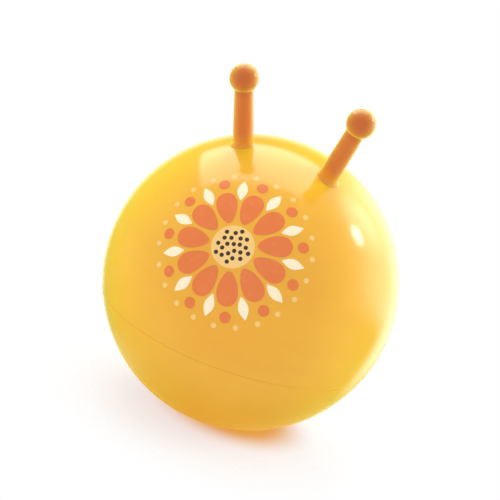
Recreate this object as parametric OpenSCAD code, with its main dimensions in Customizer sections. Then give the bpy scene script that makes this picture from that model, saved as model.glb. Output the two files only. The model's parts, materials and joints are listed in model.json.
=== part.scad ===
// Hopper ball: an inflated ball with two knobbed horns to hold and a stoppered valve at the back.
// Millimetres, +Z up. The origin is the middle of the flat patch that rests on the floor.
// The front of the ball faces -Y, and the horns stand side by side along X.

/* [Ball] */
// Diameter of the ball when it is blown up
ball_d = 450; // [350:5:600]
// Thickness of the ball's skin
skin_wall = 1.5; // [1:0.1:4]
// Radius of the patch that the ball's weight presses flat on the floor
floor_patch_r = 32; // [15:1:60]
// Latitude of the mould's parting line, below the ball's middle, in degrees
seam_latitude = 18.2; // [0:0.2:45]
// Radius of the round bead that the parting line leaves on the skin
seam_bead_r = 0.6; // [0.3:0.1:0.9]

/* [Horns] */
// Angle from the middle plane to the root of each horn, in degrees
horn_root_angle = 17.5; // [12:0.5:30]
// Angle from the middle plane to the axis of each horn, in degrees
horn_axis_angle = 13.5; // [8:0.5:30]
// Angle by which both horns lean towards the front, in degrees
horn_lean = 14; // [0:0.2:30]
// Distance along the axis from the root to the middle of the knob
horn_reach = 102.5; // [75:0.5:150]
// Diameter of the grip at the root
horn_root_d = 31; // [28:0.5:36]
// Diameter of the grip at the knob
horn_grip_d = 27; // [20:0.5:31]
// Thickness of the horn's wall
horn_wall = 4; // [2:0.5:8]
// Diameter of the knob
knob_d = 43; // [36:1:60]
// Radius of the hollow between grip and knob
knob_neck_fillet = 4; // [1:0.5:8]
// Radius of the hollow between grip and foot
horn_root_fillet = 8; // [5:0.5:14]
// Diameter of the foot where it runs out on the ball
horn_foot_d = 37.5; // [37:0.5:48]
// Slope at which the foot runs out, in degrees
horn_foot_slope = 40; // [30:1:60]
// Diameter of the flange that is welded inside the skin
horn_flange_d = 62; // [45:1:90]
// Thickness of that flange
horn_flange_t = 2.5; // [1.5:0.5:5]

/* [Valve] */
// Diameter of the hole that the plug closes
valve_bore_d = 10; // [8:0.5:14]
// Outer diameter of the tube around that hole
valve_tube_d = 19; // [17:0.5:30]
// Length of the tube, from the plug's seat inwards
valve_tube_length = 26; // [20:1:40]
// Diameter of the face that shows in the skin
valve_face_d = 40; // [38:1:60]
// Diameter of the flange that is welded inside the skin
valve_flange_d = 62; // [56:1:90]
// Thickness of that flange
valve_flange_t = 2.5; // [1.5:0.5:5]

/* [Plug] */
// Diameter of the plug's head
plug_head_d = 24; // [18:0.5:28]
// Thickness of the head
plug_head_t = 3.2; // [2:0.2:5]
// Length of the plug below its head
plug_shank_length = 27; // [18:1:40]
// Height of the sealing ribs on the shank
plug_rib_height = 0.6; // [0.3:0.1:1.2]
// Length of each sealing rib
plug_rib_length = 3.4; // [2:0.2:4.4]
// Number of sealing ribs
plug_rib_count = 3; // [2:1:4]
// Diameter of the hollow core in the shank
plug_core_d = 4; // [2:0.5:5]

/* [Clearances] */
// Gap at a welded face
weld_gap = 0.1; // [0.05:0.05:0.3]
// Gap between a sealing rib and the valve's hole
rib_gap = 0.05; // [0.02:0.01:0.1]
// Gap between the plug's head and the recess that it sits in
head_gap = 0.6; // [0.3:0.1:1]
// Gap under the plug's head
seat_gap = 0.2; // [0.1:0.05:0.4]
// Depth of the head's top below the ball's surface
plug_sink = 0.4; // [0.1:0.1:2]

/* [Hidden] */

$fn = 72;
ball_facets = 180;
// Overrun of every cut past the face that it opens
overrun = 1;

ball_r = ball_d / 2;
skin_inner_r = ball_r - skin_wall;
ball_middle_z = sqrt(ball_r ^ 2 - floor_patch_r ^ 2);
seam_ring_r = ball_r * cos(seam_latitude);
seam_ring_z = -ball_r * sin(seam_latitude);

LEFT = -1;
RIGHT = 1;
horn_root_r = horn_root_d / 2;
horn_grip_r = horn_grip_d / 2;
horn_foot_r = horn_foot_d / 2;
horn_flange_r = horn_flange_d / 2;
knob_r = knob_d / 2;
// The spigot under the foot is narrower than the grip, so that the foot covers the hole in the skin
horn_spigot_step = 1;
horn_spigot_r = horn_root_r - horn_spigot_step;
horn_bore_r = horn_spigot_r - horn_wall;
// Radius lost by the grip for each millimetre along its axis
horn_taper = (horn_root_r - horn_grip_r) / horn_reach;
horn_taper_stretch = sqrt(1 + horn_taper ^ 2);
// The foot's cone is drawn out past the place where it meets the ball
horn_skirt_r = horn_foot_r + horn_root_fillet;
// Cuts inside the ball reach this far below the root
horn_root_depth = horn_flange_r;

valve_bore_r = valve_bore_d / 2;
valve_tube_r = valve_tube_d / 2;
valve_face_r = valve_face_d / 2;
valve_flange_r = valve_flange_d / 2;
valve_mouth_chamfer = 0.8;
valve_tube_round = 1.2;
valve_cup_wall = 2.4;
scoop_r = 4;
plug_head_r = plug_head_d / 2;
plug_head_round = plug_head_t / 4;
valve_recess_r = plug_head_r + head_gap;
valve_cup_r = valve_recess_r + valve_cup_wall;
// Heights along the valve's axis are measured from the middle of the ball
plug_top_w = ball_r - plug_sink;
plug_head_w = plug_top_w - plug_head_t;
valve_floor_w = plug_head_w - seat_gap;
valve_cup_end_w = valve_floor_w - valve_cup_wall;
valve_tube_end_w = valve_floor_w - valve_tube_length;
plug_tip_w = plug_head_w - plug_shank_length;
plug_rib_r = valve_bore_r - rib_gap;
plug_shank_r = plug_rib_r - plug_rib_height;
plug_tip_r = plug_shank_r - plug_rib_height;
plug_core_r = plug_core_d / 2;
// The nose below the last rib, and the plain neck above the first, each take this share of the shank
plug_nose_share = 0.22;
plug_neck_share = 0.16;
plug_nose_length = plug_shank_length * plug_nose_share;
plug_neck_length = plug_shank_length * plug_neck_share;
plug_rib_pitch = (plug_shank_length - plug_nose_length - plug_neck_length) / plug_rib_count;
// Share of a rib's length that is its long lead-in slope
plug_rib_lead_share = 0.7;
plug_core_depth = plug_shank_length - plug_neck_length;

// Placing

module at_ball_middle() {
  translate([0, 0, ball_middle_z]) children();
}

// Puts a horn that stands along +Z with its root at the origin on its side of the ball
module at_horn_root(side) {
  at_ball_middle()
    rotate([horn_lean, 0, 0])
      translate([side * ball_r * sin(horn_root_angle), 0, ball_r * cos(horn_root_angle)])
        rotate([0, side * horn_axis_angle, 0])
          children();
}

// Puts a shape that is round about +Z on the axis of the valve, which points out of the back
module at_valve_axis() {
  at_ball_middle() rotate([-90, 0, 0]) children();
}

// A ball about the middle of the toy
module ball_of(radius) {
  at_ball_middle() sphere(r = radius, $fn = ball_facets);
}

// Everything below a height
module half_space_below(z) {
  side = 2 * ball_d;
  translate([-side / 2, -side / 2, z - side]) cube(side);
}

// Ball

module ball_skin() {
  color([0.93, 0.68, 0.26])
    difference() {
      union() {
        difference() {
          ball_of(ball_r);
          half_space_below(0);
        }
        seam_bead();
      }
      difference() {
        ball_of(skin_inner_r);
        half_space_below(skin_wall);
      }
      for (side = [LEFT, RIGHT]) horn_hole(side);
      valve_hole();
    }
}

// The parting line runs round the ball as a fine raised bead
module seam_bead() {
  at_ball_middle()
    translate([0, 0, seam_ring_z])
      rotate_extrude($fn = ball_facets)
        translate([seam_ring_r, 0])
          circle(r = seam_bead_r);
}

module horn_hole(side) {
  at_horn_root(side)
    translate([0, 0, -horn_root_depth])
      cylinder(r = horn_spigot_r + weld_gap, h = horn_root_depth + horn_root_fillet);
}

module valve_hole() {
  at_valve_axis()
    translate([0, 0, valve_tube_end_w])
      cylinder(r = valve_face_r + weld_gap, h = ball_r - valve_tube_end_w + overrun);
}

// Horns

function grip_r_at(z) = horn_root_r - horn_taper * z;

// Middle of the circle that rolls between the grip and the knob
neck_offset_r = horn_root_r + knob_neck_fillet * horn_taper_stretch;
neck_half_b = neck_offset_r * horn_taper + horn_reach;
neck_c = neck_offset_r ^ 2 + horn_reach ^ 2 - (knob_r + knob_neck_fillet) ^ 2;
neck_z = (neck_half_b - sqrt(neck_half_b ^ 2 - horn_taper_stretch ^ 2 * neck_c)) / horn_taper_stretch ^ 2;
neck_r = neck_offset_r - horn_taper * neck_z;
// Where that circle leaves the grip and where it meets the knob
neck_grip_z = neck_z - knob_neck_fillet * horn_taper / horn_taper_stretch;
neck_knob_share = knob_r / (knob_r + knob_neck_fillet);
neck_knob_point = [neck_r * neck_knob_share, horn_reach + (neck_z - horn_reach) * neck_knob_share];

// The foot's cone meets a ball of the toy's size at the foot's radius, where the ball has dropped this far
foot_drop = ball_r - sqrt(ball_r ^ 2 - horn_foot_r ^ 2);
foot_tangent_r = horn_root_r + horn_root_fillet * (1 - sin(horn_foot_slope));
foot_tangent_z = -foot_drop + tan(horn_foot_slope) * (horn_foot_r - foot_tangent_r);
foot_fillet_z = foot_tangent_z + horn_root_fillet * cos(horn_foot_slope);
foot_skirt_z = foot_tangent_z - tan(horn_foot_slope) * (horn_skirt_r - foot_tangent_r);

// Half of the horn's outline, from the skirt of its foot to the top of its knob
module horn_outline() {
  polygon([[0, foot_skirt_z], [grip_r_at(foot_skirt_z), foot_skirt_z], [horn_grip_r, horn_reach], [0, horn_reach]]);
  horn_neck();
  horn_foot();
  intersection() {
    translate([0, horn_reach]) circle(r = knob_r);
    translate([0, horn_reach - knob_r]) square([knob_r, knob_d]);
  }
}

module horn_neck() {
  difference() {
    polygon([
      [0, neck_grip_z],
      [grip_r_at(neck_grip_z), neck_grip_z],
      [neck_r, neck_z],
      neck_knob_point,
      [0, horn_reach]
    ]);
    translate([neck_r, neck_z]) circle(r = knob_neck_fillet);
  }
}

module horn_foot() {
  fillet_r = horn_root_r + horn_root_fillet;
  difference() {
    polygon([
      [0, foot_skirt_z],
      [horn_skirt_r, foot_skirt_z],
      [foot_tangent_r, foot_tangent_z],
      [fillet_r, foot_fillet_z],
      [0, foot_fillet_z]
    ]);
    translate([fillet_r, foot_fillet_z]) circle(r = horn_root_fillet);
  }
}

// The grip, knob and foot, cut to sit on the ball
module horn_outside(side) {
  difference() {
    at_horn_root(side) rotate_extrude() horn_outline();
    ball_of(ball_r + weld_gap);
  }
}

// The spigot that passes through the skin, and the flange that is welded to the skin's inner face
module horn_inside(side) {
  flange_outer_r = skin_inner_r - weld_gap;
  difference() {
    union() {
      at_horn_root(side)
        translate([0, 0, -horn_root_depth])
          cylinder(r = horn_spigot_r, h = horn_root_depth + foot_fillet_z / 2);
      intersection() {
        at_horn_root(side)
          translate([0, 0, -horn_root_depth])
            cylinder(r = horn_flange_r, h = horn_root_depth + overrun);
        ball_of(flange_outer_r);
      }
    }
    ball_of(flange_outer_r - horn_flange_t);
  }
}

// The air space inside the horn, open to the ball
module horn_hollow(side) {
  at_horn_root(side) {
    translate([0, 0, -horn_root_depth - overrun])
      cylinder(r = horn_bore_r, h = horn_root_depth + 2 * overrun);
    cylinder(r1 = horn_bore_r, r2 = horn_grip_r - horn_wall, h = horn_reach);
    translate([0, 0, horn_reach]) sphere(r = knob_r - horn_wall);
  }
}

module horn(side) {
  color([0.85, 0.47, 0.18])
    difference() {
      union() {
        horn_outside(side);
        horn_inside(side);
      }
      horn_hollow(side);
    }
}

// Valve

// The face that fills the hole in the skin, and the flange that is welded to the skin's inner face
module valve_shell() {
  flange_outer_r = skin_inner_r - weld_gap;
  flange_inner_r = flange_outer_r - valve_flange_t;
  difference() {
    union() {
      valve_disc(valve_face_r, ball_r);
      valve_disc(valve_flange_r, flange_outer_r);
    }
    sphere(r = flange_inner_r, $fn = ball_facets);
  }
}

// A round bar along the valve's axis, ended by a ball about the toy's middle
module valve_disc(radius, end_r) {
  intersection() {
    translate([0, 0, valve_tube_end_w]) cylinder(r = radius, h = ball_r - valve_tube_end_w + overrun);
    sphere(r = end_r, $fn = ball_facets);
  }
}

// The cup under the recess and the tube below it, with its end rounded
module valve_tube() {
  rotate_extrude()
    difference() {
      union() {
        translate([0, valve_tube_end_w]) square([valve_tube_r, valve_tube_length]);
        translate([0, valve_cup_end_w]) square([valve_cup_r, skin_inner_r - valve_flange_t - valve_cup_end_w]);
      }
      translate([valve_tube_r - valve_tube_round, valve_tube_end_w])
        difference() {
          translate([0, -overrun]) square(valve_tube_round + overrun);
          translate([0, valve_tube_round]) circle(r = valve_tube_round);
        }
    }
}

module valve_seat() {
  color([0.90, 0.62, 0.22])
    at_valve_axis()
      difference() {
        union() {
          valve_shell();
          valve_tube();
        }
        translate([0, 0, valve_tube_end_w - overrun])
          cylinder(r = valve_bore_r, h = valve_tube_length + 2 * overrun);
        translate([0, 0, valve_floor_w])
          cylinder(r = valve_recess_r, h = plug_head_t + plug_sink + seat_gap + overrun);
        translate([0, 0, valve_floor_w - valve_mouth_chamfer])
          cylinder(
            r1 = valve_bore_r,
            r2 = valve_bore_r + valve_mouth_chamfer + overrun,
            h = valve_mouth_chamfer + overrun
          );
        thumbnail_scoop();
      }
}

// A scoop in the recess's edge lets a thumbnail under the plug's head
module thumbnail_scoop() {
  translate([0, -valve_recess_r, plug_top_w]) sphere(r = scoop_r);
}

// Plug

module plug_head_outline() {
  intersection() {
    circle(r = plug_top_w, $fn = ball_facets);
    union() {
      translate([0, plug_head_w]) square([plug_head_r - plug_head_round, plug_head_t]);
      translate([0, plug_head_w + plug_head_round]) square([plug_head_r, plug_head_t - 2 * plug_head_round]);
      for (w = [plug_head_w + plug_head_round, plug_top_w - plug_head_round])
        translate([plug_head_r - plug_head_round, w]) circle(r = plug_head_round);
    }
  }
}

// A saw-toothed sealing rib: a long slope to go in by, and a short one above it
module plug_rib_outline() {
  lead = plug_rib_length * plug_rib_lead_share;
  polygon([[0, 0], [plug_shank_r, 0], [plug_rib_r, lead], [plug_shank_r, plug_rib_length], [0, plug_rib_length]]);
}

module plug_shank_outline() {
  translate([0, plug_tip_w + plug_nose_length])
    square([plug_shank_r, plug_shank_length - plug_nose_length + plug_head_round]);
  polygon([
    [0, plug_tip_w],
    [plug_tip_r, plug_tip_w],
    [plug_shank_r, plug_tip_w + plug_nose_length],
    [0, plug_tip_w + plug_nose_length]
  ]);
  for (i = [0 : plug_rib_count - 1])
    translate([0, plug_tip_w + plug_nose_length + i * plug_rib_pitch]) plug_rib_outline();
}

module valve_plug() {
  color([0.96, 0.93, 0.84])
    at_valve_axis()
      difference() {
        rotate_extrude() {
          plug_head_outline();
          plug_shank_outline();
        }
        translate([0, 0, plug_tip_w - overrun])
          cylinder(r = plug_core_r, h = plug_core_depth + overrun);
      }
}

ball_skin();
horn(LEFT);  // left_horn
horn(RIGHT);  // right_horn
valve_seat();
valve_plug();
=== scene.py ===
"""Hopper ball: the skin, parting line, print, horns and valve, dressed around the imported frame."""

import json
import logging
import math
from dataclasses import dataclass
from enum import Enum
from typing import Any

import bmesh
import bpy
from mathutils import Matrix, Vector

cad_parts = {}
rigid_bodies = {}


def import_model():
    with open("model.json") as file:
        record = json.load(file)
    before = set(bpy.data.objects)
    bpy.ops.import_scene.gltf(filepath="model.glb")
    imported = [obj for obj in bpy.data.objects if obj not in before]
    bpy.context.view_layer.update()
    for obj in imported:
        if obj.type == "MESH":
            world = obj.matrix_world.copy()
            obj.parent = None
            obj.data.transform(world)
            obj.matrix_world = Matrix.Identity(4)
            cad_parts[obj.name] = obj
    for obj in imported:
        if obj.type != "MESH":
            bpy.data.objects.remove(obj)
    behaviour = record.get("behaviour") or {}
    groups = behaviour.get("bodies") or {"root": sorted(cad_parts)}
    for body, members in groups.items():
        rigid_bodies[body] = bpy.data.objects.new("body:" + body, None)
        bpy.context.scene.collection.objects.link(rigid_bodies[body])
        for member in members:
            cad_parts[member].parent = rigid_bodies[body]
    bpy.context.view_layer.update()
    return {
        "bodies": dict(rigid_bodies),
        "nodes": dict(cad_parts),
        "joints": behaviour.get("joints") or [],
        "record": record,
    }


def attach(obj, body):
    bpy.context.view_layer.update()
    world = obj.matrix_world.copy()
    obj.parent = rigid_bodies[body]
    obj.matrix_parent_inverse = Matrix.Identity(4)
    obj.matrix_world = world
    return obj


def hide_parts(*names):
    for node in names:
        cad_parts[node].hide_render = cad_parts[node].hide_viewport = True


LOG = logging.getLogger("hopper_ball")
BALL = "ball"

FULL_TURN = 2.0 * math.pi
GOLDEN_ANGLE = math.pi * (3.0 - math.sqrt(5.0))
CREASE = math.radians(35.0)
WELD = 1e-6
NEAR_ZERO = 1e-7

Colour = tuple[float, float, float]
Point = tuple[float, float, float]

WHITE: Colour = (1.0, 1.0, 1.0)
BLACK: Colour = (0.0, 0.0, 0.0)


def opaque(colour: Colour) -> tuple[float, float, float, float]:
    """Gives a colour its full alpha."""
    return (*colour, 1.0)


def add(thing: bpy.types.Object) -> bpy.types.Object:
    """Puts an object in the scene and hands it back."""
    bpy.context.scene.collection.objects.link(thing)
    return thing


class Wire:
    """An output socket that can stand in a Python sum."""

    def __init__(self, graph: "Graph", socket: bpy.types.NodeSocket | None) -> None:
        """Keeps the socket and the tree that it belongs to."""
        self.graph = graph
        self.socket = socket

    def math(self, operation: str, *values: Any) -> "Wire":
        """Adds one Math node.

        Args:
            operation: Blender's name for what the node does.
            values: The numbers or wires that it takes, in order.

        Returns:
            The node's result.
        """
        return self.graph.node("ShaderNodeMath", {"operation": operation}, dict(enumerate(values)))

    def __add__(self, other: Any) -> "Wire":
        """Adds a number or a wire."""
        return self.math("ADD", self, other)

    def __radd__(self, other: Any) -> "Wire":
        """Is added to a number."""
        return self.math("ADD", other, self)

    def __sub__(self, other: Any) -> "Wire":
        """Takes away a number or a wire."""
        return self.math("SUBTRACT", self, other)

    def __rsub__(self, other: Any) -> "Wire":
        """Is taken from a number."""
        return self.math("SUBTRACT", other, self)

    def __mul__(self, other: Any) -> "Wire":
        """Multiplies by a number or a wire."""
        return self.math("MULTIPLY", self, other)

    def __rmul__(self, other: Any) -> "Wire":
        """Multiplies a number."""
        return self.math("MULTIPLY", other, self)

    def __truediv__(self, other: Any) -> "Wire":
        """Divides by a number or a wire."""
        return self.math("DIVIDE", self, other)

    def __rtruediv__(self, other: Any) -> "Wire":
        """Divides a number."""
        return self.math("DIVIDE", other, self)

    def __pow__(self, other: Any) -> "Wire":
        """Raises to a power."""
        return self.math("POWER", self, other)

    def at_least(self, other: Any) -> "Wire":
        """Takes the larger of itself and another value."""
        return self.math("MAXIMUM", self, other)

    def sine(self) -> "Wire":
        """Takes the sine of an angle in radians."""
        return self.math("SINE", self)

    def cosine(self) -> "Wire":
        """Takes the cosine of an angle in radians."""
        return self.math("COSINE", self)

    def root(self) -> "Wire":
        """Takes the square root."""
        return self.math("SQRT", self)

    def step(self, low: float, high: float) -> "Wire":
        """Rises smoothly from 0 at low to 1 at high.

        Args:
            low: Where the rise begins.
            high: Where it ends; below low, the rise runs the other way.

        Returns:
            A value from 0 to 1.
        """
        return self.graph.node(
            "ShaderNodeMapRange",
            {"interpolation_type": "SMOOTHSTEP"},
            {"Value": self, "From Min": low, "From Max": high},
        )


class Graph:
    """A node tree that is written as calls and sums."""

    def __init__(self, tree: bpy.types.NodeTree) -> None:
        """Takes over a tree and empties it."""
        self.tree = tree
        tree.nodes.clear()

    def node(
        self,
        kind: str,
        settings: dict[str, Any] | None = None,
        inputs: dict[int | str, Any] | None = None,
        out: int | str = 0,
    ) -> Wire:
        """Adds a node.

        Args:
            kind: Blender's name for the node's type.
            settings: The node's own settings, which are set first.
            inputs: Numbers, colours or wires for its sockets, by place, identifier or name.
            out: The output that is wanted, by place, identifier or name.

        Returns:
            That output.
        """
        made = self.tree.nodes.new(kind)
        for name, value in (settings or {}).items():
            setattr(made, name, value)
        for key, value in (inputs or {}).items():
            socket = self._find(made.inputs, key)
            if isinstance(value, Wire):
                self.tree.links.new(value.socket, socket)
            else:
                socket.default_value = value
        return Wire(self, self._find(made.outputs, out) if made.outputs else None)

    @staticmethod
    def _find(sockets: Any, key: int | str) -> bpy.types.NodeSocket:
        """Finds a socket by place, identifier or name.

        Args:
            sockets: The inputs or outputs of a node.
            key: The place, identifier or name.

        Returns:
            The socket.
        """
        if isinstance(key, str):
            for socket in sockets:
                if socket.identifier == key:
                    return socket
        return sockets[key]

    def vector(self, operation: str, *values: Any) -> Wire:
        """Adds one Vector Math node that gives a number.

        Args:
            operation: Blender's name for what the node does.
            values: The vectors that it takes, in order.

        Returns:
            The node's number.
        """
        inputs = dict(enumerate(values))
        return self.node("ShaderNodeVectorMath", {"operation": operation}, inputs, "Value")

    def scaled(self, vector: Any, amount: Any) -> Wire:
        """Multiplies a vector by a value."""
        inputs = {0: vector, "Scale": amount}
        return self.node("ShaderNodeVectorMath", {"operation": "SCALE"}, inputs)

    def xyz(self, x: Any = 0.0, y: Any = 0.0, z: Any = 0.0) -> Wire:
        """Joins three values into a vector."""
        return self.node("ShaderNodeCombineXYZ", None, {0: x, 1: y, 2: z})

    def parts(self, vector: Wire) -> tuple[Wire, Wire, Wire]:
        """Splits a vector into its three values.

        Args:
            vector: The vector.

        Returns:
            Its x, y and z.
        """
        first = self.node("ShaderNodeSeparateXYZ", None, {0: vector})
        outputs = first.socket.node.outputs
        return first, Wire(self, outputs[1]), Wire(self, outputs[2])

    def blend(self, share: Wire, first: Wire, second: Wire) -> Wire:
        """Mixes two shaders: the first where the share is 0, the second where it is 1."""
        return self.node("ShaderNodeMixShader", None, {0: share, 1: first, 2: second})


@dataclass(frozen=True)
class Mottle:
    """An uneven pattern of soft blots.

    Attributes:
        scale: How many blots there are in a metre.
        detail: How many finer layers lie on the first.
        stretch: How much finer the blots are along each axis.
        shift: Moves the pattern, so that two of them differ.
        edge: Where a blot begins and where it is full, or None for the plain pattern.
    """

    scale: float
    detail: float = 2.0
    stretch: Point = (1.0, 1.0, 1.0)
    shift: float = 0.0
    edge: tuple[float, float] | None = None


class Surface(Graph):
    """The node tree of a new material."""

    def __init__(self, name: str) -> None:
        """Makes a new material.

        Args:
            name: The material's name.
        """
        self.material = bpy.data.materials.new(name)
        self.material.use_nodes = True
        super().__init__(self.material.node_tree)
        self.place = self.node("ShaderNodeTexCoord", out="Object")

    def mottle(self, pattern: Mottle) -> Wire:
        """Lays an uneven pattern on the piece's own coordinates.

        Args:
            pattern: What it is like.

        Returns:
            A value from 0 to 1, which for a plain pattern is mostly near a half.
        """
        place = self.node(
            "ShaderNodeMapping",
            None,
            {"Vector": self.place, "Location": (pattern.shift,) * 3, "Scale": pattern.stretch},
        )
        noise = self.node(
            "ShaderNodeTexNoise",
            None,
            {"Vector": place, "Scale": pattern.scale, "Detail": pattern.detail},
        )
        return noise.step(*pattern.edge) if pattern.edge else noise

    def tint(self, low: Any, high: Any, share: Wire) -> Wire:
        """Mixes two colours.

        Args:
            low: The colour at 0.
            high: The colour at 1.
            share: The value between them.

        Returns:
            The mixed colour.
        """
        ends = [opaque(c) if isinstance(c, tuple) else c for c in (low, high)]
        return self.node(
            "ShaderNodeMix",
            {"data_type": "RGBA"},
            {"Factor_Float": share, "A_Color": ends[0], "B_Color": ends[1]},
            "Result_Color",
        )

    def bump(self, strength: float, depth: float, height: Wire) -> Wire:
        """Turns a height into small bumps.

        Args:
            strength: How strong the bumps are, from 0 to 1.
            depth: How deep they are, in metres.
            height: The pattern of the bumps.

        Returns:
            The bumpy normal.
        """
        inputs = {"Strength": strength, "Distance": depth, "Height": height}
        return self.node("ShaderNodeBump", None, inputs)

    def glow(self, colour: Any = WHITE, strength: float = 1.0) -> Wire:
        """Adds a plain light of a colour.

        Args:
            colour: The colour, or a wire that gives it.
            strength: How bright the light is.

        Returns:
            The shader.
        """
        shade = opaque(colour) if isinstance(colour, tuple) else colour
        return self.node("ShaderNodeEmission", None, {"Color": shade, "Strength": strength})

    def clear(self) -> Wire:
        """Adds a shader that shows nothing."""
        return self.node("ShaderNodeBsdfTransparent")

    def show(self, shader: Wire) -> bpy.types.Material:
        """Ends the tree with a shader and hands the material back."""
        self.node("ShaderNodeOutputMaterial", None, {"Surface": shader})
        return self.material

    def finish(self, **sockets: Any) -> bpy.types.Material:
        """Ends the tree with a Principled shader.

        Args:
            sockets: Values for the shader's sockets, with _ for each space in a name.

        Returns:
            The finished material.
        """
        inputs = {name.replace("_", " "): value for name, value in sockets.items()}
        return self.show(self.node("ShaderNodeBsdfPrincipled", None, inputs))


class Shape(Graph):
    """A Geometry Nodes tree with named inputs, which is turned into a plain mesh."""

    def __init__(self, name: str) -> None:
        """Makes a new tree.

        Args:
            name: The tree's name.
        """
        super().__init__(bpy.data.node_groups.new(name, "GeometryNodeTree"))
        self.tree.is_modifier = True
        self.tree.interface.new_socket(
            "Geometry", in_out="OUTPUT", socket_type="NodeSocketGeometry"
        )
        self.inlet = self.tree.nodes.new("NodeGroupInput")
        self.sockets: dict[str, str] = {}

    def size(self, name: str, kind: str = "Float") -> Wire:
        """Adds a named input.

        Args:
            name: The input's name.
            kind: Float, Int or Material.

        Returns:
            The input, as the tree's other nodes see it.
        """
        made = self.tree.interface.new_socket(
            name, in_out="INPUT", socket_type=f"NodeSocket{kind}"
        )
        self.sockets[name] = made.identifier
        return Wire(self, self._find(self.inlet.outputs, made.identifier))

    def sizes(self, *names: str) -> list[Wire]:
        """Adds a named input for each of several lengths, angles or shares."""
        return [self.size(name) for name in names]

    def here(self) -> Wire:
        """Reads the place of each point."""
        return self.node("GeometryNodeInputPosition")

    def move(self, mesh: Wire, place: Wire) -> Wire:
        """Sets the place of every point of a mesh."""
        inputs = {"Geometry": mesh, "Position": place}
        return self.node("GeometryNodeSetPosition", None, inputs)

    def flip(self, mesh: Wire) -> Wire:
        """Turns the faces of a mesh round."""
        return self.node("GeometryNodeFlipFaces", None, {"Mesh": mesh})

    def circle(self, steps: Wire, radius: Wire) -> Wire:
        """Draws a circle as a curve."""
        inputs = {"Resolution": steps, "Radius": radius}
        return self.node("GeometryNodeCurvePrimitiveCircle", None, inputs)

    def join(self, *meshes: Wire) -> Wire:
        """Joins meshes.

        Args:
            meshes: The meshes, first one first.

        Returns:
            All of them as one.
        """
        joined = self.node("GeometryNodeJoinGeometry")
        for mesh in reversed(meshes):
            self.tree.links.new(mesh.socket, joined.socket.node.inputs[0])
        return joined

    def realize(self, mesh: Wire) -> Wire:
        """Turns instances into real geometry."""
        return self.node("GeometryNodeRealizeInstances", None, {"Geometry": mesh})

    def close(self, mesh: Wire) -> None:
        """Ends the tree: smooth faces, sharp creases, real geometry and the material.

        Args:
            mesh: What the tree has made.
        """
        material = self.size("Material", "Material")
        smooth = self.node(
            "GeometryNodeSetShadeSmooth",
            {"domain": "FACE"},
            {"Geometry": mesh, "Shade Smooth": True},
        )
        angle = self.node("GeometryNodeInputMeshEdgeAngle")
        sharp = angle.math("GREATER_THAN", angle, CREASE)
        creased = self.node(
            "GeometryNodeSetShadeSmooth",
            {"domain": "EDGE"},
            {"Geometry": smooth, "Selection": sharp, "Shade Smooth": False},
        )
        dressed = self.node(
            "GeometryNodeSetMaterial",
            None,
            {"Geometry": self.realize(creased), "Material": material},
        )
        self.node("NodeGroupOutput", None, {"Geometry": dressed})

    def piece(self, name: str, **values: Any) -> bpy.types.Object:
        """Runs the tree and keeps its result as a plain mesh.

        Args:
            name: The piece's name.
            values: A value for each named input, with _ for each space in a name.

        Returns:
            The new piece, at the origin.
        """
        host = add(bpy.data.objects.new(f"{name}_host", bpy.data.meshes.new(f"{name}_host")))
        modifier = host.modifiers.new("shape", "NODES")
        modifier.node_group = self.tree
        for key, value in values.items():
            modifier[self.sockets[key.replace("_", " ")]] = value
        found = host.evaluated_get(bpy.context.evaluated_depsgraph_get())
        mesh = bpy.data.meshes.new_from_object(found)
        mesh.name = name
        host.modifiers.remove(modifier)
        bpy.data.objects.remove(host)
        return add(bpy.data.objects.new(name, mesh))


@dataclass(frozen=True)
class ReachFade:
    """A colour that takes over between two distances from the ball's middle."""

    colour: Colour
    start: float
    end: float
    middle: Point = (0.0, 0.0, 0.2227)

    def over(self, s: Surface, colour: Wire) -> Wire:
        """Fades another colour into this one.

        Args:
            s: The material's tree.
            colour: The colour before the start.

        Returns:
            The faded colour.
        """
        away = s.vector("DISTANCE", s.place, self.middle)
        return s.tint(colour, self.colour, away.step(self.start, self.end))


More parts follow.
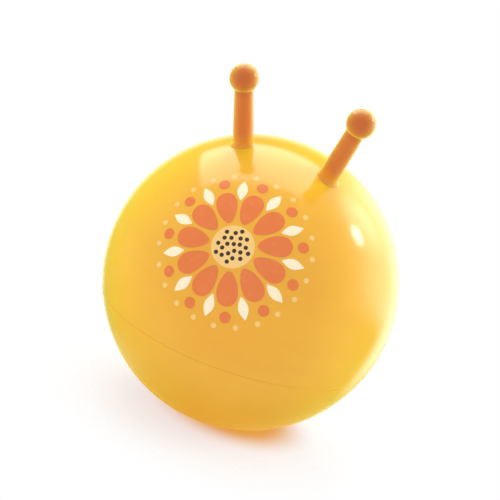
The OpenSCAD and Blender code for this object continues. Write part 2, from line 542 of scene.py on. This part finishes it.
@dataclass(frozen=True)
class VinylFinish:
    """Glossy moulded vinyl, a little see-through, with a fine orange-peel skin.

    Depth and clarity say how far and how much light goes in, the fades change the colour with
    the distance from the ball's middle, and the glow is the golden sheen of the edges.
    """

    name: str
    colour: Colour
    deep: Colour
    roughness: float = 0.12
    peel: float = 0.05
    depth: float = 0.006
    clarity: float = 0.12
    fades: tuple[ReachFade, ...] = ()
    glow: float = 0.0
    glow_tint: Colour = (1.0, 0.80, 0.08)
    index: float = 1.46
    coat: float = 0.12
    coat_roughness: float = 0.05
    glow_spread: float = 0.6
    bleed: Point = (1.0, 0.35, 0.08)
    peel_depth: float = 0.0006
    peel_share: float = 0.7
    cloud_share: float = 0.6
    scuff_height: float = 0.05
    scuff_share: float = 0.5
    scuff_dim: float = 0.78
    scuff_dust: float = 0.05
    smudge_roughness: float = 0.05
    grain_roughness: float = 0.02
    scuff_roughness: float = 0.22
    cloud: Mottle = Mottle(7.0, 3.0, edge=(0.3, 0.7))
    streak: Mottle = Mottle(5.0, 4.0, (1.0, 1.0, 6.0), 3.7, (0.4, 0.7))
    grain: Mottle = Mottle(620.0, 1.0)
    dimple: Mottle = Mottle(150.0, shift=1.3)
    smudge: Mottle = Mottle(16.0, 5.0, shift=8.1, edge=(0.52, 0.72))
    scuff: Mottle = Mottle(90.0, 4.0, shift=5.0, edge=(0.5, 0.65))

    def material(self) -> bpy.types.Material:
        """Builds the finish.

        Returns:
            The material.
        """
        s = Surface(self.name)
        grain = s.mottle(self.grain)
        height = s.parts(s.place)[2]
        scuff = height.step(self.scuff_height, 0.0) * s.mottle(self.scuff)
        roughness = (
            self.roughness
            + self.smudge_roughness * s.mottle(self.smudge)
            + self.grain_roughness * grain
            + self.scuff_roughness * scuff
        )
        bumps = s.mottle(self.dimple) * self.peel_share + grain * (1.0 - self.peel_share)
        return s.finish(
            Base_Color=self._colour(s, scuff),
            Roughness=roughness,
            Normal=s.bump(self.peel, self.peel_depth, bumps),
            IOR=self.index,
            Coat_Weight=self.coat,
            Coat_Roughness=self.coat_roughness,
            Sheen_Weight=self.glow,
            Sheen_Roughness=self.glow_spread,
            Sheen_Tint=opaque(self.glow_tint),
            Subsurface_Weight=self.clarity,
            Subsurface_Radius=self.bleed,
            Subsurface_Scale=self.depth,
        )

    def _colour(self, s: Surface, scuff: Wire) -> Wire:
        """Mixes the colour: clouds and streaks, then scuffs near the floor, then the fades.

        Args:
            s: The material's tree.
            scuff: Where the floor has scuffed it.

        Returns:
            The colour.
        """
        streak_share = 1.0 - self.cloud_share
        uneven = s.mottle(self.cloud) * self.cloud_share + s.mottle(self.streak) * streak_share
        scuffed = tuple(self.scuff_dim * c + self.scuff_dust for c in self.deep)
        colour = s.tint(self.colour, self.deep, uneven)
        colour = s.tint(colour, scuffed, scuff * self.scuff_share)
        for fade in self.fades:
            colour = fade.over(s, colour)
        return colour


@dataclass(frozen=True)
class InkFinish:
    """Screen-printed ink on vinyl: flat colour with a fine uneven coat."""

    name: str
    colour: Colour
    thin: Colour
    roughness: float = 0.2
    index: float = 1.46
    coat: float = 0.1
    coat_roughness: float = 0.06
    bump: float = 0.05
    bump_depth: float = 0.0004
    worn_share: float = 0.3
    grain_share: float = 0.2
    worn_roughness: float = 0.08
    grain_roughness: float = 0.04
    worn: Mottle = Mottle(55.0, 4.0, edge=(0.35, 0.75))
    grain: Mottle = Mottle(900.0, 1.0)

    def material(self) -> bpy.types.Material:
        """Builds the finish.

        Returns:
            The material.
        """
        s = Surface(self.name)
        worn, grain = s.mottle(self.worn), s.mottle(self.grain)
        thin = worn * self.worn_share + grain * self.grain_share
        return s.finish(
            Base_Color=s.tint(self.colour, self.thin, thin),
            Roughness=self.roughness + self.worn_roughness * worn + self.grain_roughness * grain,
            Normal=s.bump(self.bump, self.bump_depth, grain),
            IOR=self.index,
            Coat_Weight=self.coat,
            Coat_Roughness=self.coat_roughness,
        )


@dataclass(frozen=True)
class StopperFinish:
    """Semi-hard beige plastic with a satin face, a little grubby from handling."""

    name: str
    colour: Colour
    grubby: Colour
    roughness: float = 0.42
    index: float = 1.48
    bump: float = 0.12
    bump_depth: float = 0.0003
    grubby_share: float = 0.6
    grubby_edge: tuple[float, float] = (0.45, 0.75)
    cloud_roughness: float = 0.12
    grain_roughness: float = 0.06
    cloud: Mottle = Mottle(70.0, 4.0)
    grain: Mottle = Mottle(1500.0)

    def material(self) -> bpy.types.Material:
        """Builds the finish.

        Returns:
            The material.
        """
        s = Surface(self.name)
        cloud, grain = s.mottle(self.cloud), s.mottle(self.grain)
        grubby = cloud.step(*self.grubby_edge) * self.grubby_share
        uneven = self.cloud_roughness * (cloud - 0.5) + self.grain_roughness * grain
        return s.finish(
            Base_Color=s.tint(self.colour, self.grubby, grubby),
            Roughness=self.roughness + uneven,
            Normal=s.bump(self.bump, self.bump_depth, grain),
            IOR=self.index,
        )


class Ink(Enum):
    """The colours of the print."""

    ORANGE = InkFinish("ink_orange", (0.72, 0.165, 0.030), (0.76, 0.200, 0.040))
    CREAM = InkFinish("ink_cream", (0.86, 0.55, 0.18), (0.84, 0.50, 0.14))
    PALE = InkFinish("ink_pale", (0.93, 0.80, 0.58), (0.90, 0.72, 0.44))
    DARK = InkFinish("ink_dark", (0.024, 0.011, 0.007), (0.034, 0.016, 0.009))


SKIN = VinylFinish(
    "skin_vinyl",
    (0.82, 0.375, 0.022),
    (0.79, 0.345, 0.019),
    clarity=0.15,
    glow=0.60,
    glow_tint=(0.80, 0.95, 0.07),
)
HORN = VinylFinish(
    "horn_vinyl",
    (0.63, 0.116, 0.002),
    (0.60, 0.104, 0.002),
    roughness=0.14,
    peel=0.01,
    depth=0.004,
    clarity=0.6,
    fades=(
        ReachFade((0.74, 0.255, 0.012), 0.2520, 0.2240),
        ReachFade((0.53, 0.078, 0.002), 0.2980, 0.3140),
    ),
    glow=1.0,
    glow_tint=(1.0, 0.98, 0.18),
    index=1.42,
    coat=0.06,
)
SEAT = VinylFinish(
    "valve_vinyl", (0.74, 0.30, 0.020), (0.70, 0.27, 0.018), roughness=0.24, peel=0.10
)
STOPPER = StopperFinish("stopper_plastic", (0.54, 0.50, 0.40), (0.46, 0.41, 0.31))


@dataclass
class BallSkin:
    """The inflated skin: a thin shell with a flat foot, a valve hole and a parting line."""

    radius: float = 0.225
    wall: float = 0.0015
    foot_radius: float = 0.032
    seam_latitude: float = math.radians(-18.2)
    bead_radius: float = 0.0006
    bead_steps: int = 480
    bead_sides: int = 12
    valve_hole_radius: float = 0.0201
    valve_hole_sides: int = 96
    segments: int = 272
    rings: int = 168

    @property
    def middle(self) -> float:
        """The height of the ball's middle above the floor."""
        return math.sqrt(self.radius**2 - self.foot_radius**2)

    def build(self) -> list[bpy.types.Object]:
        """Makes the shell and the bead of the parting line.

        Returns:
            The shell, then the bead.
        """
        material = SKIN.material()
        shell = self._shell_shape().piece(
            "ball_shell",
            Radius=self.radius,
            Wall=self.wall,
            Middle=self.middle,
            Segments=self.segments,
            Rings=self.rings,
            Hole=self.valve_hole_radius,
            Hole_Sides=self.valve_hole_sides,
            Material=material,
        )
        bead = self._bead_shape().piece(
            "parting_line",
            Ring=self.radius * math.cos(self.seam_latitude),
            Height=self.middle + self.radius * math.sin(self.seam_latitude),
            Bead=self.bead_radius,
            Steps=self.bead_steps,
            Sides=self.bead_sides,
            Material=material,
        )
        return [shell, bead]

    def dress(self, pieces: list[bpy.types.Object]) -> None:
        """Fixes the pieces to the frame in place of the plain skin.

        Args:
            pieces: The shell and the bead.
        """
        for piece in pieces:
            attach(piece, BALL)
        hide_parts("ball_skin")

    @staticmethod
    def _shell_shape() -> Shape:
        """Writes the tree of the shell: two layers, pressed flat below and drilled at the back.

        Returns:
            The tree, with its named sizes.
        """
        t = Shape("ball_shell")
        radius, wall, middle, hole = t.sizes("Radius", "Wall", "Middle", "Hole")
        segments, rings = t.size("Segments", "Int"), t.size("Rings", "Int")
        hole_sides = t.size("Hole Sides", "Int")

        def layer(layer_radius: Any, floor: Any) -> Wire:
            """Makes a ball that is pressed flat.

            Args:
                layer_radius: The ball's radius.
                floor: The height of its flat foot.

            Returns:
                The ball.
            """
            ball = t.node(
                "GeometryNodeMeshUVSphere",
                None,
                {"Segments": segments, "Rings": rings, "Radius": layer_radius},
            )
            x, y, z = t.parts(t.here())
            return t.move(ball, t.xyz(x, y, (z + middle).at_least(floor)))

        shell = t.join(layer(radius, 0.0), t.flip(layer(radius - wall, wall)))
        drill = t.node(
            "GeometryNodeMeshCylinder",
            None,
            {"Vertices": hole_sides, "Radius": hole, "Depth": radius},
            "Mesh",
        )
        drill = t.node(
            "GeometryNodeTransform",
            None,
            {
                "Geometry": drill,
                "Translation": t.xyz(0.0, radius, middle),
                "Rotation": (FULL_TURN / 4.0, 0.0, 0.0),
            },
        )
        cut = t.node(
            "GeometryNodeMeshBoolean",
            {"operation": "DIFFERENCE", "solver": "EXACT"},
            {"Mesh 1": shell, "Mesh 2": drill},
        )
        t.close(cut)
        return t

    @staticmethod
    def _bead_shape() -> Shape:
        """Writes the tree of the parting line's bead.

        Returns:
            The tree, with its named sizes.
        """
        t = Shape("parting_line")
        ring, height, bead = t.sizes("Ring", "Height", "Bead")
        steps, sides = t.size("Steps", "Int"), t.size("Sides", "Int")
        rail = t.node(
            "GeometryNodeTransform",
            None,
            {"Geometry": t.circle(steps, ring), "Translation": t.xyz(z=height)},
        )
        t.close(
            t.node(
                "GeometryNodeCurveToMesh",
                None,
                {"Curve": rail, "Profile Curve": t.circle(sides, bead)},
            )
        )
        return t


@dataclass(frozen=True)
class InkRing:
    """One ring of the print's motifs, or with a spiral of 1 a disc that they fill.

    A swell makes a motif wider at its outer end, and a point draws both its ends out. The
    layer counts the other inks that lie below.
    """

    name: str
    ink: Ink
    count: int
    ring: float
    length: float
    width: float
    swell: float = 0.0
    point: float = 0.0
    start: float = 0.0
    spiral: float = 0.0
    layer: int = 0


@dataclass
class FrontPrint:
    """The flower that is printed on the front: thin ink that follows the ball."""

    skin: BallSkin
    latitude: float = math.radians(27.0)
    lift: float = 0.00012
    layer_lift: float = 0.00008
    depth: float = 0.0004
    motif_points: int = 15
    rings: tuple[InkRing, ...] = (
        InkRing("print_disc", Ink.CREAM, 1, 0.0, 0.062, 0.062),
        InkRing("print_seeds", Ink.DARK, 22, 0.0255, 0.0062, 0.0062, spiral=1.0, layer=1),
        InkRing("print_petals", Ink.ORANGE, 11, 0.0600, 0.050, 0.030, swell=0.30),
        InkRing(
            "print_leaves", Ink.PALE, 11, 0.0885, 0.034, 0.015, point=0.7, start=math.pi / 11
        ),
        InkRing("print_dots", Ink.ORANGE, 11, 0.1005, 0.017, 0.017),
        InkRing("print_specks", Ink.CREAM, 22, 0.1150, 0.008, 0.008, start=math.pi / 22),
    )

    def build(self) -> list[bpy.types.Object]:
        """Makes one thin piece for each ring of the print.

        Returns:
            The pieces.
        """
        shape = self._ring_shape()
        materials = {ink: ink.value.material() for ink in Ink}
        return [
            shape.piece(
                ring.name,
                Motif_Points=self.motif_points,
                Count=ring.count,
                Ring=ring.ring,
                Length=ring.length,
                Width=ring.width,
                Swell=ring.swell,
                Point=ring.point,
                Start=ring.start,
                Spiral=ring.spiral,
                Radius=self.skin.radius + self.lift + self.layer_lift * ring.layer,
                Middle=self.skin.middle,
                Latitude=self.latitude,
                Depth=self.depth,
                Material=materials[ring.ink],
            )
            for ring in self.rings
        ]

    @staticmethod
    def dress(pieces: list[bpy.types.Object]) -> None:
        """Fixes the ink to the ball.

        Args:
            pieces: The rings of the print.
        """
        for piece in pieces:
            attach(piece, BALL)

    @classmethod
    def _ring_shape(cls) -> Shape:
        """Writes the tree that repeats a motif round a middle and wraps it on the ball.

        Returns:
            The tree, with its named sizes.
        """
        t = Shape("ink_ring")
        t.close(cls._thicken(t, cls._wrap(t, cls._spread(t, cls._motif(t)))))
        return t

    @staticmethod
    def _motif(t: Shape) -> Wire:
        """Rounds a square of faces to a disc and draws it out to a petal, leaf or dot.

        Args:
            t: The tree.

        Returns:
            The flat motif.
        """
        length, width, swell, point = t.sizes("Length", "Width", "Swell", "Point")
        points = t.size("Motif Points", "Int")
        square = t.node(
            "GeometryNodeMeshGrid",
            None,
            {"Size X": 2.0, "Size Y": 2.0, "Vertices X": points, "Vertices Y": points},
            "Mesh",
        )
        x, y, _ = t.parts(t.here())
        across = x * (1.0 - y * y * 0.5).root()
        along = y * (1.0 - x * x * 0.5).root()
        across = across * (1.0 + swell * along) * (1.0 - point * along * along)
        return t.move(square, t.xyz(across * width * 0.5, along * length * 0.5, 0.0))

    @staticmethod
    def _spread(t: Shape, motif: Wire) -> Wire:
        """Stands copies of the motif round the middle, or fills a disc with them as seeds do.

        Args:
            t: The tree.
            motif: One motif.

        Returns:
            All the motifs, still flat.
        """
        ring, start, spiral = t.sizes("Ring", "Start", "Spiral")
        count = t.size("Count", "Int")
        index = t.node("GeometryNodeInputIndex")
        turn = start + index * (FULL_TURN / count * (1.0 - spiral) + GOLDEN_ANGLE * spiral)
        reach = ring * (1.0 - spiral + spiral * ((index + 0.5) / count).root())
        place = t.xyz(turn.sine() * reach, turn.cosine() * reach, 0.0)
        points = t.node("GeometryNodePoints", None, {"Count": count, "Position": place})
        spread = t.node(
            "GeometryNodeInstanceOnPoints",
            None,
            {"Points": points, "Instance": motif, "Rotation": t.xyz(z=0.0 - turn)},
        )
        return t.realize(spread)

    @staticmethod
    def _wrap(t: Shape, flat: Wire) -> Wire:
        """Turns distances from the middle of the print into arcs on the ball.

        Args:
            t: The tree.
            flat: The flat print.

        Returns:
            The print on the ball.
        """
        radius, middle, latitude = t.sizes("Radius", "Middle", "Latitude")
        place = t.here()
        x, y, _ = t.parts(place)
        reach = t.vector("LENGTH", place).at_least(NEAR_ZERO)
        arc = reach / radius
        side = radius * arc.sine() / reach
        out = radius * arc.cosine()
        rise = y * side
        back = rise * latitude.sine() - out * latitude.cosine()
        height = middle + out * latitude.sine() + rise * latitude.cosine()
        return t.move(flat, t.xyz(x * side, back, height))

    @staticmethod
    def _thicken(t: Shape, print_face: Wire) -> Wire:
        """Gives the ink a little depth, as a closed solid that starts inside the skin.

        Args:
            t: The tree.
            print_face: The outer face of the ink.

        Returns:
            The solid ink.
        """
        depth = t.size("Depth")
        inward = t.scaled(t.node("GeometryNodeInputNormal"), 0.0 - depth)
        back = t.node(
            "GeometryNodeSetPosition", None, {"Geometry": print_face, "Offset": inward}
        )
        wall = t.node(
            "GeometryNodeExtrudeMesh",
            {"mode": "FACES"},
            {"Mesh": back, "Offset Scale": depth, "Individual": False},
        )
        return t.node(
            "GeometryNodeMergeByDistance",
            None,
            {"Geometry": t.join(wall, t.flip(back)), "Distance": WELD},
        )


@dataclass
class Horns:
    """The two grips, which keep their solids and get the horn's vinyl."""

    nodes: tuple[str, ...] = ("left_horn", "right_horn")

    def dress(self, frame: dict[str, Any]) -> list[bpy.types.Object]:
        """Puts the finish on both horns.

        Args:
            frame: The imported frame.

        Returns:
            The horns.
        """
        material = HORN.material()
        horns = [frame["nodes"][node] for node in self.nodes]
        for horn in horns:
            horn.material_slots[0].material = material
        return horns


@dataclass
class Valve:
    """The valve's seat and its plug, which keep their solids."""

    seat: str = "valve_seat"
    plug: str = "valve_plug"

    def dress(self, frame: dict[str, Any]) -> list[bpy.types.Object]:
        """Puts the finishes on the seat and the plug.

        Args:
            frame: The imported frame.

        Returns:
            The seat, then the plug.
        """
        seat, plug = frame["nodes"][self.seat], frame["nodes"][self.plug]
        seat.material_slots[0].material = SEAT.material()
        plug.material_slots[0].material = STOPPER.material()
        return [seat, plug]


@dataclass
class PhotoCamera:
    """The camera, where the photograph was taken from.

    It is rolled, because the ball stands upright here.
    """

    target: Vector
    azimuth: float = math.radians(11.5)
    elevation: float = math.radians(17.5)
    roll: float = math.radians(19.1)
    distance: float = 2.587
    focal_pixels: float = 1699.0
    target_pixel: tuple[float, float] = (250.8, 281.9)
    frame_pixels: float = 500.0
    sensor: float = 36.0
    clip_end: float = 100.0

    def axes(self) -> Matrix:
        """Works out right, up and back for a camera that looks straight at the target.

        Returns:
            A matrix with the three directions as its columns.
        """
        ca, sa = math.cos(self.azimuth), math.sin(self.azimuth)
        ce, se = math.cos(self.elevation), math.sin(self.elevation)
        back = Vector((sa * ce, -ca * ce, se))
        level = Vector((ca, sa, 0.0))
        upright = back.cross(level)
        cr, sr = math.cos(self.roll), math.sin(self.roll)
        right = cr * level + sr * upright
        up = cr * upright - sr * level
        return Matrix((right, up, back)).transposed()

    def build(self) -> bpy.types.Object:
        """Makes the camera and puts it in the scene.

        Returns:
            The camera.
        """
        data = bpy.data.cameras.new("camera")
        data.sensor_width = self.sensor
        data.lens = self.focal_pixels / self.frame_pixels * self.sensor
        data.clip_end = self.clip_end
        axes = self.axes()
        half = self.frame_pixels / 2.0
        x, y = self.target_pixel
        aim = Vector((x - half, half - y, -self.focal_pixels))
        turn = aim.rotation_difference(Vector((0.0, 0.0, -1.0))).to_matrix()
        place = self.target + axes.col[2] * self.distance
        camera = bpy.data.objects.new("camera", data)
        camera.matrix_world = Matrix.Translation(place) @ (axes @ turn).to_4x4()
        bpy.context.scene.camera = add(camera)
        return camera


class Ray(Enum):
    """The kinds of light ray that something in the studio can be hidden from."""

    CAMERA = "visible_camera"
    DIFFUSE = "visible_diffuse"
    GLOSSY = "visible_glossy"
    TRANSMISSION = "visible_transmission"
    SCATTER = "visible_volume_scatter"
    SHADOW = "visible_shadow"

    @staticmethod
    def hide(thing: bpy.types.Object, *rays: "Ray") -> None:
        """Hides an object from some kinds of ray.

        Args:
            thing: The object.
            rays: The kinds of ray.
        """
        for ray in rays:
            setattr(thing, ray.value, False)


class PanelForm(Enum):
    """The outline of a glowing panel."""

    SQUARE = "square"
    ROUND = "round"


@dataclass(frozen=True)
class Softbox:
    """A glowing panel that only the gloss shows.

    Its place from the ball's middle, the way it faces and the direction of its width run along
    the camera's right, up and back. Its light fades at the left, right, low and high edge over
    so many metres, or on a round panel over a share of the radius.
    """

    name: str
    place: Point
    width: float
    height: float
    radiance: float
    fade: tuple[float, ...]
    form: PanelForm = PanelForm.SQUARE
    facing: Point = (-1.0, 0.0, 0.0)
    across: Point = (0.0, 0.0, -1.0)

    def build(self, middle: Vector, axes: Matrix) -> None:
        """Hangs the panel.

        Args:
            middle: The ball's middle.
            axes: The camera's right, up and back as columns.
        """
        x, y = self.width / 2.0, self.height / 2.0
        corners = [(-x, -y, 0.0), (x, -y, 0.0), (x, y, 0.0), (-x, y, 0.0)]
        mesh = bpy.data.meshes.new(self.name)
        mesh.from_pydata(corners, [], [(0, 1, 2, 3)])
        mesh.materials.append(self._glow())
        panel = bpy.data.objects.new(self.name, mesh)
        front = (axes @ Vector(self.facing)).normalized()
        side = axes @ Vector(self.across)
        side = (side - front * side.dot(front)).normalized()
        turn = Matrix((side, front.cross(side), front)).transposed()
        place = middle + axes @ Vector(self.place)
        panel.matrix_world = Matrix.Translation(place) @ turn.to_4x4()
        Ray.hide(panel, Ray.CAMERA, Ray.DIFFUSE, Ray.SHADOW)
        add(panel)

    def _glow(self) -> bpy.types.Material:
        """Builds the panel's light, which fades out at its edges.

        Returns:
            The material.
        """
        s = Surface(self.name)
        x, y, _ = s.parts(s.place)
        half_x, half_y = self.width / 2.0, self.height / 2.0
        if self.form is PanelForm.ROUND:
            reach = ((x / half_x) ** 2.0 + (y / half_y) ** 2.0).root()
            share = reach.step(1.0, 1.0 - self.fade[0])
        else:
            left, right, low, high = self.fade
            share = x.step(-half_x, left - half_x) * x.step(half_x, half_x - right)
            share = share * y.step(-half_y, low - half_y) * y.step(half_y, half_y - high)
        return s.show(s.blend(share, s.clear(), s.glow(strength=self.radiance)))


@dataclass(frozen=True)
class Fill:
    """A wide lamp that evens the light and does not show in the gloss."""

    name: str
    place: Point
    size: float
    level: float

    def build(self, middle: Vector, axes: Matrix) -> None:
        """Sets up the lamp so that it faces the ball.

        Args:
            middle: The ball's middle.
            axes: The camera's right, up and back as columns.
        """
        data = bpy.data.lights.new(self.name, "AREA")
        data.shape = "DISK"
        data.size = self.size
        away = axes @ Vector(self.place)
        data.energy = self.level * math.pi**2 * away.length_squared
        lamp = bpy.data.objects.new(self.name, data)
        turn = away.to_track_quat("Z", "Y").to_matrix().to_4x4()
        lamp.matrix_world = Matrix.Translation(middle + away) @ turn
        Ray.hide(lamp, Ray.CAMERA, Ray.GLOSSY)
        add(lamp)


@dataclass(frozen=True)
class Curtain:
    """A dark curtain round the back of the studio, open in the middle, which only the gloss shows.

    Front and dark are shares of the radius along the camera's back. The gap is the direction
    of the opening along the camera's right, up and back, and its start and end are cosines.
    """

    radius: float = 7.0
    darkness: float = 0.85
    front: float = 0.3
    dark: float = -0.7
    gap: Point = (0.05, 0.09, -0.995)
    gap_start: float = 0.82
    gap_end: float = 0.97
    rounds: int = 4

    def build(self, middle: Vector, axes: Matrix) -> None:
        """Hangs the curtain.

        Args:
            middle: The ball's middle.
            axes: The camera's right, up and back as columns.
        """
        form = bmesh.new()
        bmesh.ops.create_icosphere(form, subdivisions=self.rounds, radius=self.radius)
        mesh = bpy.data.meshes.new("curtain")
        form.to_mesh(mesh)
        form.free()
        mesh.materials.append(self._cloth())
        curtain = bpy.data.objects.new("curtain", mesh)
        curtain.matrix_world = Matrix.Translation(middle) @ axes.to_4x4()
        Ray.hide(curtain, Ray.CAMERA, Ray.DIFFUSE, Ray.TRANSMISSION, Ray.SCATTER, Ray.SHADOW)
        add(curtain)

    def _cloth(self) -> bpy.types.Material:
        """Builds the dark cloth, which thins out towards the front and the opening.

        Returns:
            The material.
        """
        s = Surface("curtain")
        depth = s.parts(s.place)[2] / self.radius
        facing = s.vector("DOT_PRODUCT", s.place, self.gap) / self.radius
        opening = facing.step(self.gap_start, self.gap_end)
        share = depth.step(self.front, self.dark) * (1.0 - opening) * self.darkness
        cloth = s.node("ShaderNodeBsdfDiffuse", None, {"Color": opaque(BLACK)})
        return s.show(s.blend(share, s.clear(), cloth))


@dataclass
class Studio:
    """The plain pale floor, the white surround, the curtain and the lamps.

    The glow is a painted pool of orange light on the floor under the see-through ball, set a
    little beside the foot, which the camera sees over most of the floor's own shading; its share
    is given at the rim and in the middle, and past the rim the camera sees painted white light at
    the rim share, which pales the shadow. The warm light that the floor lends to the ball is
    painted too: a glow round the foot that every ray but the camera's sees in place of the paper.
    Both, and the floor's fade into the surround, run from a start to an end radius.
    """

    middle: Vector
    axes: Matrix
    ambient: float = 0.92
    ambient_rear: float = 0.45
    ambient_turn: tuple[float, float] = (-0.8, 0.4)
    floor_tone: float = 0.88
    floor_roughness: float = 0.35
    floor_radius: float = 0.6
    floor_sides: int = 64
    # Painted light on the floor: an orange pool beside the foot and white beyond it, seen by the
    # camera over most of the floor's shading.
    glow: Colour = (0.80, 0.345, 0.045)
    painted_glow_middle: Point = (0.030, 0.036, 0.0)
    painted_light_share: tuple[float, float] = (0.65, 0.92)
    painted_glow_start: float = 0.068
    painted_glow_end: float = 0.145
    # Painted warm bounce light: a glow on the floor round the foot that every ray but the camera's
    # sees in place of the paper.
    painted_bounce: Colour = (0.95, 0.38, 0.07)
    painted_bounce_share: float = 0.72
    painted_bounce_end: float = 0.32
    fade_start: float = 0.10
    fade_end: float = 0.30
    softboxes: tuple[Softbox, ...] = (
        Softbox(
            "softbox_over",
            (0.20, 1.30, -0.30),
            width=1.60,
            height=1.42,
            radiance=3.4,
            fade=(0.03, 0.15, 0.34, 0.14),
            facing=(0.0, -1.0, 0.0),
            across=(0.988, 0.0, 0.157),
        ),
        Softbox(
            "softbox_right",
            (1.25, 0.60, -1.475),
            width=4.05,
            height=2.6,
            radiance=2.3,
            fade=(0.95, 0.50, 1.15, 0.38),
            across=(0.0, -0.14, -0.990),
        ),
        Softbox(
            "softbox_core",
            (1.245, 0.72, -0.42),
            width=1.3,
            height=1.2,
            radiance=4.6,
            fade=(0.9,),
            form=PanelForm.ROUND,
        ),
        Softbox(
            "softbox_low",
            (1.16, -0.62, -1.50),
            width=1.4,
            height=1.4,
            radiance=2.0,
            fade=(0.9,),
            form=PanelForm.ROUND,
            facing=(-0.55, 0.42, 0.72),
            across=(0.72, 0.0, 0.55),
        ),
        Softbox(
            "softbox_spark",
            (1.24, 0.55, -0.05),
            width=0.26,
            height=0.34,
            radiance=16.0,
            fade=(0.4,),
            form=PanelForm.ROUND,
        ),
    )
    fills: tuple[Fill, ...] = (
        Fill("fill_front", (-0.4, 0.6, 2.6), size=2.2, level=0.14),
        Fill("fill_left", (-2.18, 0.50, -0.86), size=1.2, level=0.43),
        Fill("fill_right", (2.32, 0.20, -0.50), size=1.0, level=0.56),
        Fill("fill_top", (0.24, 2.30, -0.65), size=2.2, level=0.80),
    )

    def build(self) -> None:
        """Sets up the floor, the surround, the curtain and the lamps."""
        self._floor()
        self._surround()
        for item in (Curtain(), *self.softboxes, *self.fills):
            item.build(self.middle, self.axes)

    @staticmethod
    def _seen(g: Graph) -> Wire:
        """Tells whether a ray comes from the camera, a reflection or glass.

        Args:
            g: The tree that asks.

        Returns:
            1 if it does, otherwise 0.
        """
        straight = g.node("ShaderNodeLightPath", out="Is Camera Ray")
        outputs = straight.socket.node.outputs
        mirrored = Wire(g, outputs["Is Glossy Ray"])
        through = Wire(g, outputs["Is Transmission Ray"])
        return straight.at_least(mirrored).at_least(through)

    def _surround(self) -> None:
        """Makes the world: white where it is seen, and a light that is weaker from behind."""
        world = bpy.data.worlds.new("surround")
        world.use_nodes = True
        g = Graph(world.node_tree)
        ray = g.node("ShaderNodeTexCoord", out="Generated")
        front = g.vector("DOT_PRODUCT", ray, tuple(self.axes.col[2])).step(*self.ambient_turn)
        level = self.ambient_rear + (self.ambient - self.ambient_rear) * front
        light, white = (
            g.node("ShaderNodeBackground", None, {"Color": opaque(WHITE), "Strength": strength})
            for strength in (level, 1.0)
        )
        both = g.blend(self._seen(g), light, white)
        g.node("ShaderNodeOutputWorld", None, {"Surface": both})
        bpy.context.scene.world = world

    def _floor(self) -> None:
        """Lays a round floor."""
        turns = [FULL_TURN * i / self.floor_sides for i in range(self.floor_sides)]
        r = self.floor_radius
        rim = [(r * math.cos(turn), r * math.sin(turn), 0.0) for turn in turns]
        mesh = bpy.data.meshes.new("floor")
        mesh.from_pydata(rim, [], [tuple(range(self.floor_sides))])
        mesh.materials.append(self._paper())
        floor = add(bpy.data.objects.new("floor", mesh))

    def _paper(self) -> bpy.types.Material:
        """Builds the floor's paper, which fades into the white surround.

        The camera sees painted light: white over most of the paper's own shading, which pales the
        shadow, and an orange pool near the foot that stands for the light that comes through the
        ball. The ball gets painted warm bounce light back from the floor round it, which every ray
        but the camera's sees in place of the paper.

        Returns:
            The material.
        """
        s = Surface("floor_paper")
        tone = opaque((self.floor_tone,) * 3)
        paper = s.node(
            "ShaderNodeBsdfPrincipled",
            None,
            {"Base Color": tone, "Roughness": self.floor_roughness},
        )
        straight = s.node("ShaderNodeLightPath", out="Is Camera Ray")
        reach = s.vector("DISTANCE", s.place, self.painted_glow_middle)
        inward = reach.step(self.painted_glow_end, self.painted_glow_start)
        rim_share, middle_share = self.painted_light_share
        share = rim_share + (middle_share - rim_share) * inward
        near = self.painted_bounce_share * reach.step(self.painted_bounce_end, self.painted_glow_end)
        far = s.vector("LENGTH", s.place).step(self.fade_start, self.fade_end)
        # Painted warm bounce light near the foot, for every ray but the camera's.
        lent = s.blend(near * (1.0 - straight), paper, s.glow(self.painted_bounce))
        # Painted light for the camera: orange near the foot, white further out, laid over most of
        # the paper's shading.
        lit = s.blend(share * straight, lent, s.glow(s.tint(WHITE, self.glow, inward)))
        return s.show(s.blend(far * self._seen(s), lit, s.clear()))


def main() -> None:
    """Builds the ball, its print, horns and valve, then the studio, and logs each piece's faces."""
    logging.basicConfig(level=logging.INFO, format="%(name)s %(message)s")
    bpy.data.batch_remove(list(bpy.data.objects))
    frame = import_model()
    bpy.context.scene.view_settings.view_transform = "Standard"

    skin = BallSkin()
    shell = skin.build()
    skin.dress(shell)
    front = FrontPrint(skin)
    ink = front.build()
    front.dress(ink)
    solids = Horns().dress(frame) + Valve().dress(frame)
    for piece in shell + ink + solids:
        LOG.info("%s: %d faces", piece.name, len(piece.data.polygons))

    middle = Vector((0.0, 0.0, skin.middle))
    camera = PhotoCamera(middle)
    camera.build()
    Studio(middle, camera.axes()).build()


if __name__ == "__main__":
    main()
